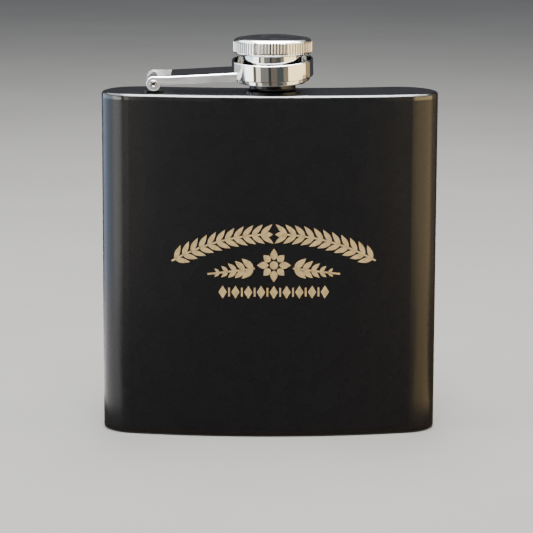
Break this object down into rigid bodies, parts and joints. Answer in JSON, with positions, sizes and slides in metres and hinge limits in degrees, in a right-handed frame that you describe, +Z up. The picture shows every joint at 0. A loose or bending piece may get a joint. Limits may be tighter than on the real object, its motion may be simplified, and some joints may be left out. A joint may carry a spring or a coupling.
{
  "type": "hip flask",
  "caption": "Curved flat-sided hip flask with a knurled screw cap held captive in a collar on a hinged arm.",
  "frame": {"origin": "middle of the flat base, halfway across the width and the depth of the body", "axes": "+Z up along the body's height, -Y out of the convex front face, +X to the right seen from the front, with the arm's hinge on the -X side"},
  "size_m": [0.094, 0.0269, 0.1119],
  "materials": {
    "body_coating": "matte powder coat",
    "plate_coating": "satin powder coat",
    "neck_coating": "satin",
    "bracket_steel": "coated strap with a bare, polished knuckle",
    "pin_steel": "plain",
    "arm_chrome": "polished",
    "cap_chrome": "polished",
    "seal_plastic": "soft polyethylene"
  },
  "bodies": {
    "flask": {"front_shell": "body_coating", "back_shell": "body_coating", "top_plate": "plate_coating", "base_plate": "plate_coating", "neck": "neck_coating", "hinge_bracket": "bracket_steel"},
    "arm": {"captive_arm": "arm_chrome", "hinge_pin": "pin_steel"},
    "cap": {"cap_shell": "cap_chrome", "cap_sleeve": "arm_chrome", "cap_retaining_ring": "arm_chrome", "cap_seal": "seal_plastic"}
  },
  "joints": [
    {"name": "arm_swing", "type": "hinge", "parent": "flask", "child": "arm", "pos_m": [-0.03232, -0.00186, 0.09913], "axis": [0.0029, -0.9951, -0.0993], "range_deg": [0, 168]},
    {"name": "cap_turn", "type": "hinge", "parent": "arm", "child": "cap", "pos_m": [0.00065, -0.00208, 0.106], "axis": [0, 0, 1], "range_deg": [0, 720]}
  ]
}
